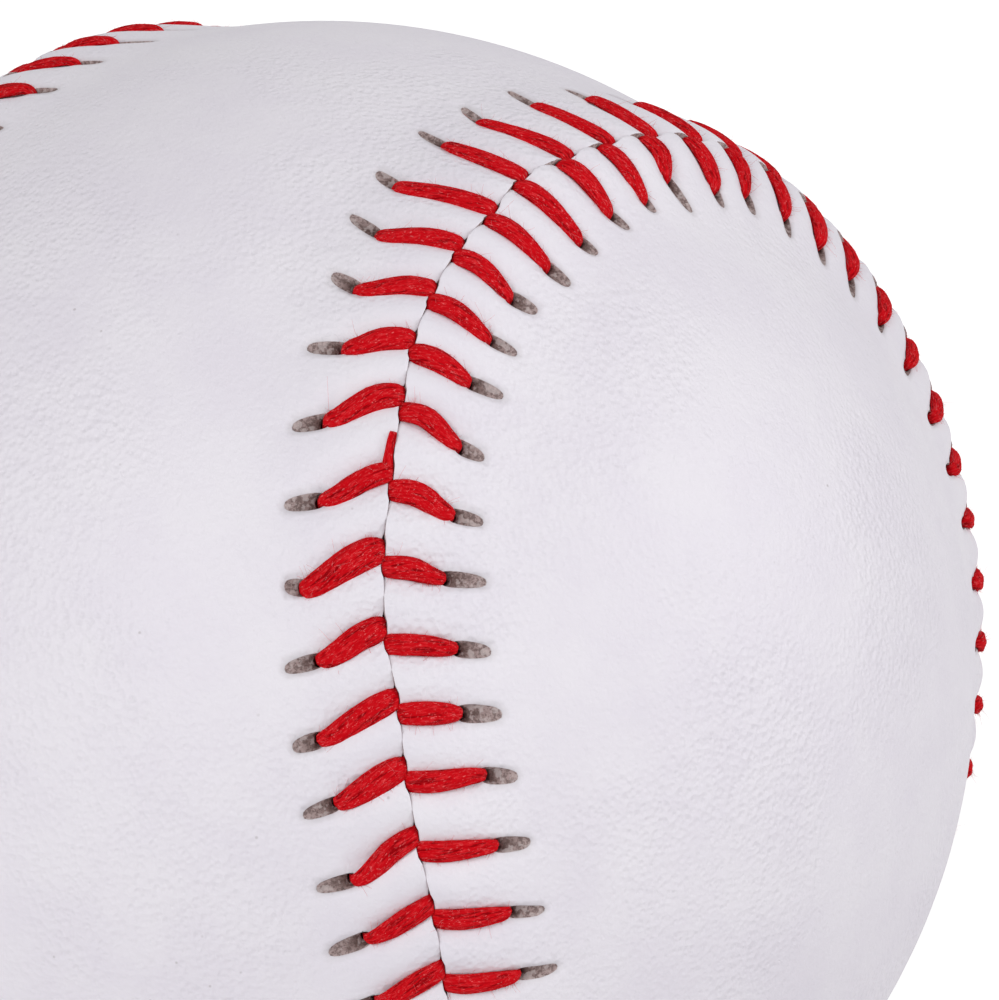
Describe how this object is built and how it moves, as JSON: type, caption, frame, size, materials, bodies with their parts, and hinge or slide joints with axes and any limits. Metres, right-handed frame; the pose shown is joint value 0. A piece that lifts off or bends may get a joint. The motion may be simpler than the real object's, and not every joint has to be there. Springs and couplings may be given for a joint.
{
  "type": "baseball",
  "caption": "White leather ball of figure-eight panels, sewn together by raised red chevron stitches over a wound yarn and cork core.",
  "frame": {"origin": "centre of the ball", "axes": "+Z out through the waist of the upper cover panel, whose long way runs along Y; the lower panel's waist is at -Z and its long way runs along X"},
  "size_m": [0.0736, 0.0736, 0.0736],
  "materials": {
    "cork": "matte composition cork, fine dark grains",
    "black_rubber": "matte black moulded rubber",
    "red_rubber": "satin brick-red moulded rubber",
    "grey_wool": "tightly wound grey wool yarn",
    "white_wool": "tightly wound off-white wool yarn",
    "cotton_yarn": "fine white cotton and polyester yarn, wound crosswise",
    "cover_leather": "cool white satin leather with fine grain",
    "red_thread": "waxed red cotton thread, plied, slightly fuzzy"
  },
  "bodies": {
    "root": {"cork_core": "cork", "black_rubber_shell_lower": "black_rubber", "black_rubber_shell_upper": "black_rubber", "red_rubber_gasket": "red_rubber", "red_rubber_jacket": "red_rubber", "first_wool_winding": "grey_wool", "second_wool_winding": "white_wool", "third_wool_winding": "grey_wool", "finishing_winding": "cotton_yarn", "cover_panel_upper": "cover_leather", "cover_panel_lower": "cover_leather", "stitch_thread_first": "red_thread", "stitch_thread_second": "red_thread"}
  },
  "joints": []
}
